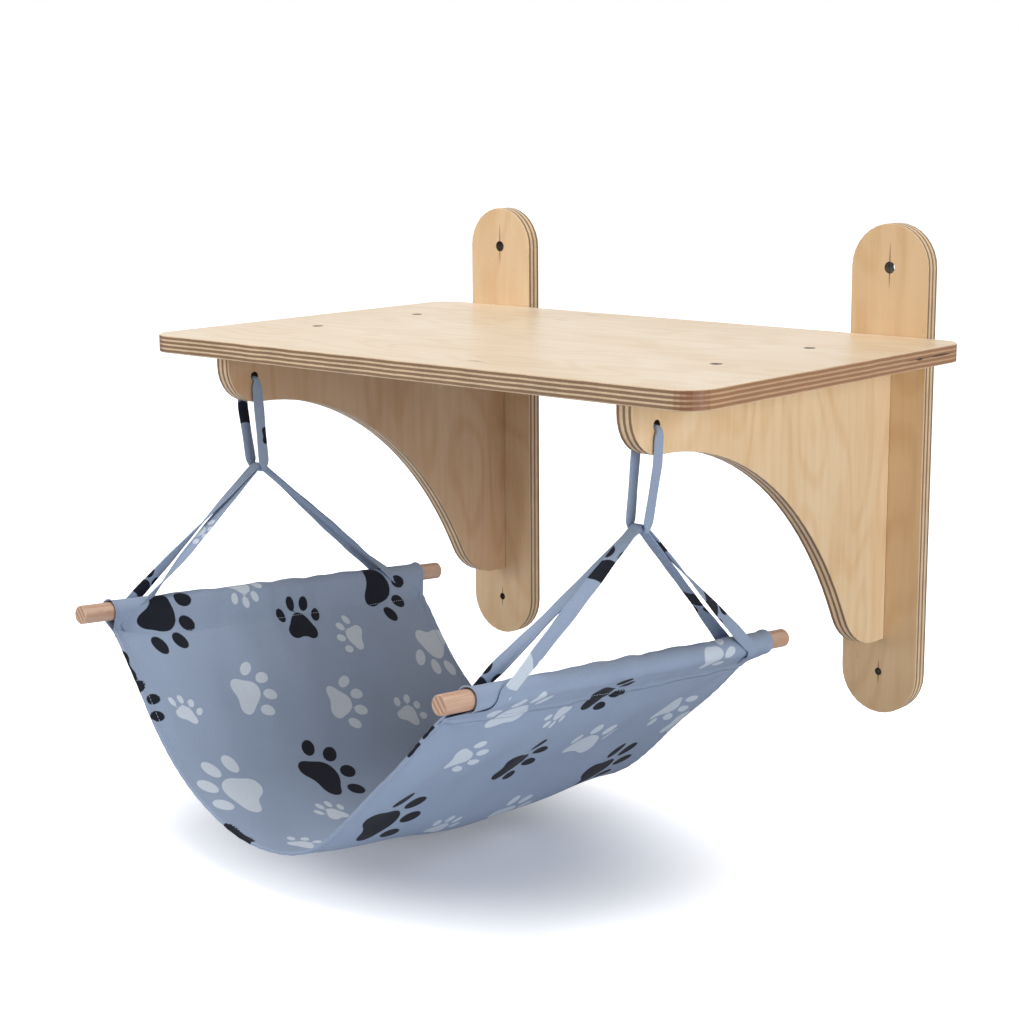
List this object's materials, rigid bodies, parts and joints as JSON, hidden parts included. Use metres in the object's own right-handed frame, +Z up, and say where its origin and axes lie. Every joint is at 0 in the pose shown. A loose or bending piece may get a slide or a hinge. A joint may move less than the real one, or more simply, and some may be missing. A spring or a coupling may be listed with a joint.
{
  "type": "cat wall shelf",
  "caption": "Plywood cat wall shelf on bracketed wall planks, with a paw-print cloth hammock slung beneath it on fabric straps and wooden dowels.",
  "frame": {"origin": "on the wall plane, midway between the wall planks, at the height of the shelf's top face", "axes": "+X along the wall to the right seen from the front, +Y into the wall, +Z up"},
  "size_m": [0.7, 0.6542, 0.5795],
  "materials": {
    "birch_plywood": "bare sanded veneer, plies showing at the edges",
    "bronzed_steel": "dark bronzed wood screw",
    "cotton_canvas": "grey-blue plain weave printed with dark and pale paws",
    "beech_dowel": "bare turned beech"
  },
  "bodies": {
    "frame": {"shelf_board": "birch_plywood", "left_bracket": "birch_plywood", "right_bracket": "birch_plywood", "left_wall_plank": "birch_plywood", "right_wall_plank": "birch_plywood", "left_shelf_screw_front": "bronzed_steel", "left_shelf_screw_rear": "bronzed_steel", "right_shelf_screw_front": "bronzed_steel", "right_shelf_screw_rear": "bronzed_steel", "left_plank_screw_upper": "bronzed_steel", "left_plank_screw_lower": "bronzed_steel", "right_plank_screw_upper": "bronzed_steel", "right_plank_screw_lower": "bronzed_steel"},
    "left_loop": {"left_hanging_loop": "cotton_canvas"},
    "right_loop": {"right_hanging_loop": "cotton_canvas"},
    "hammock": {"hammock_bed": "cotton_canvas", "left_sleeve": "cotton_canvas", "right_sleeve": "cotton_canvas", "left_inner_sling": "cotton_canvas", "left_outer_sling": "cotton_canvas", "right_inner_sling": "cotton_canvas", "right_outer_sling": "cotton_canvas"},
    "left_rod": {"left_dowel": "beech_dowel"},
    "right_rod": {"right_dowel": "beech_dowel"}
  },
  "joints": [
    {"name": "swing", "type": "hinge", "parent": "frame", "child": "left_loop", "pos_m": [-0.2635, -0.408, -0.043], "axis": [1, 0, 0], "range_deg": [-25, 25]},
    {"name": "right_swing", "type": "hinge", "parent": "frame", "child": "right_loop", "pos_m": [0.2565, -0.408, -0.043], "axis": [1, 0, 0], "range_deg": [-25, 25]},
    {"name": "rock", "type": "hinge", "parent": "left_loop", "child": "hammock", "pos_m": [-0.253, -0.408, -0.1392], "axis": [1, 0, 0], "range_deg": [-12, 12]},
    {"name": "left_rod_slide", "type": "slide", "parent": "hammock", "child": "left_rod", "axis": [0, 0.9961, -0.0885], "range_m": [-0.45, 0.05]},
    {"name": "right_rod_slide", "type": "slide", "parent": "hammock", "child": "right_rod", "axis": [0, 0.9961, -0.0885], "range_m": [-0.45, 0.05]}
  ],
  "couplings": [
    {"joint": "right_swing", "follows": "swing", "ratio": 1}
  ]
}
